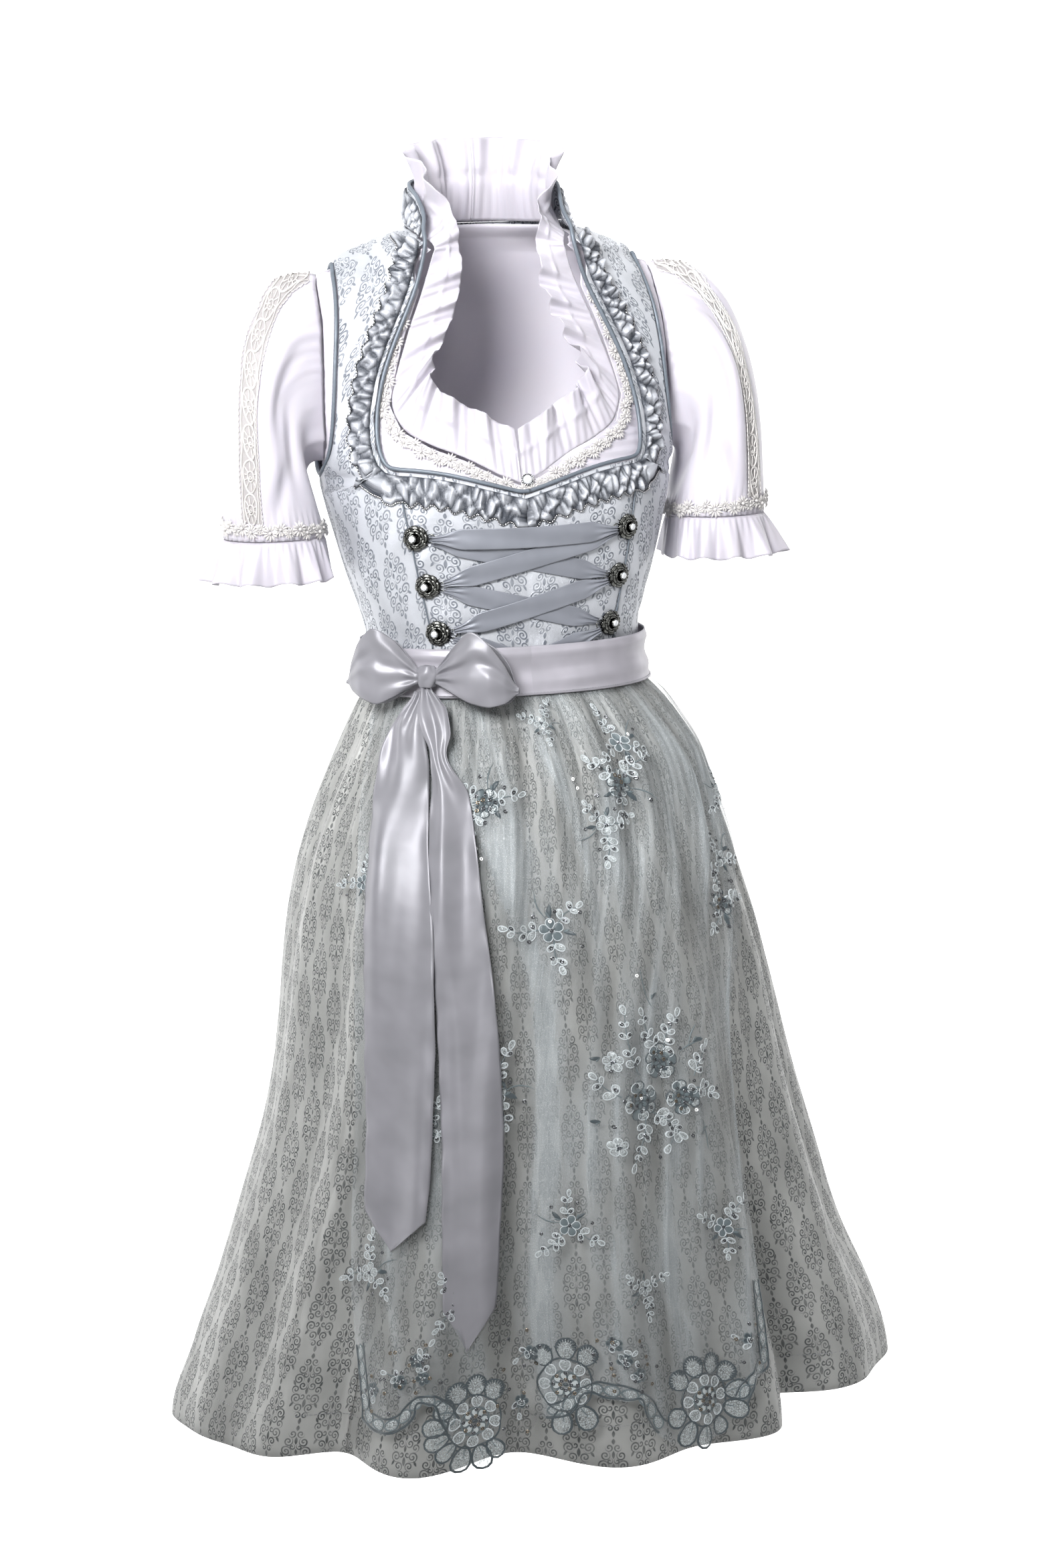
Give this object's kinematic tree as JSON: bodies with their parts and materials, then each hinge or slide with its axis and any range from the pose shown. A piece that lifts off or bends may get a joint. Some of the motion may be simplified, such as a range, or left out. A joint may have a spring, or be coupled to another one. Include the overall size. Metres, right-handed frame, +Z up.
{
  "type": "dirndl",
  "caption": "European folk dress set as worn: laced jacquard bodice, full skirt, sheer scalloped apron with sash and bow, and puff-sleeved satin blouse with a neck frill.",
  "frame": {"origin": "midway between the neck-side ends of the two shoulder seams, where the wearer's shoulders hold the set up", "axes": "+Z up along the wearer, -Y out of the front, +X to the viewer's right"},
  "size_m": [0.6805, 0.5172, 1.1382],
  "materials": {
    "jacquard": "silver-grey satin jacquard with a scroll ornament",
    "piping": "blue-grey satin",
    "satin": "lavender-grey satin",
    "ribbon": "pale cool grey satin ribbon",
    "organza": "sheer crinkled grey-green organza with embroidery",
    "blouse_cloth": "white satin",
    "lace": "white cotton lace",
    "silver": "antique silver, blackened in the hollows",
    "crystal": "faceted clear stone in a silver setting"
  },
  "bodies": {
    "root": {"bodice_front": "jacquard", "bodice_side_front_right": "jacquard", "bodice_side_front_left": "jacquard", "bodice_back": "jacquard", "stand_collar": "jacquard", "neckline_trim_front": "jacquard", "neckline_trim_right": "jacquard", "neckline_trim_left": "jacquard", "collar_trim": "jacquard", "skirt_front": "jacquard", "skirt_side_right": "jacquard", "skirt_back": "jacquard", "skirt_side_left": "jacquard", "neckline_piping": "piping", "armhole_piping_right": "piping", "armhole_piping_left": "piping", "sash": "satin", "bow_knot": "satin", "bow_loop_left": "satin", "bow_loop_right": "satin", "bow_tail_left": "satin", "bow_tail_right": "satin", "lacing_1": "ribbon", "lacing_2": "ribbon", "lacing_3": "ribbon", "lacing_4": "ribbon", "lacing_5": "ribbon", "lacing_6": "ribbon", "lacing_7": "ribbon", "apron": "organza", "blouse_front_right": "blouse_cloth", "blouse_front_left": "blouse_cloth", "blouse_back": "blouse_cloth", "sleeve_right": "blouse_cloth", "sleeve_left": "blouse_cloth", "sleeve_frill_right": "blouse_cloth", "sleeve_frill_left": "blouse_cloth", "neck_frill": "blouse_cloth", "sleeve_lace_right": "lace", "sleeve_lace_left": "lace", "cuff_braid_right": "lace", "cuff_braid_left": "lace", "neck_braid": "lace", "rose_hook_left_1": "silver", "rose_hook_left_2": "silver", "rose_hook_left_3": "silver", "rose_hook_right_1": "silver", "rose_hook_right_2": "silver", "rose_hook_right_3": "silver", "blouse_button": "crystal"}
  },
  "joints": []
}
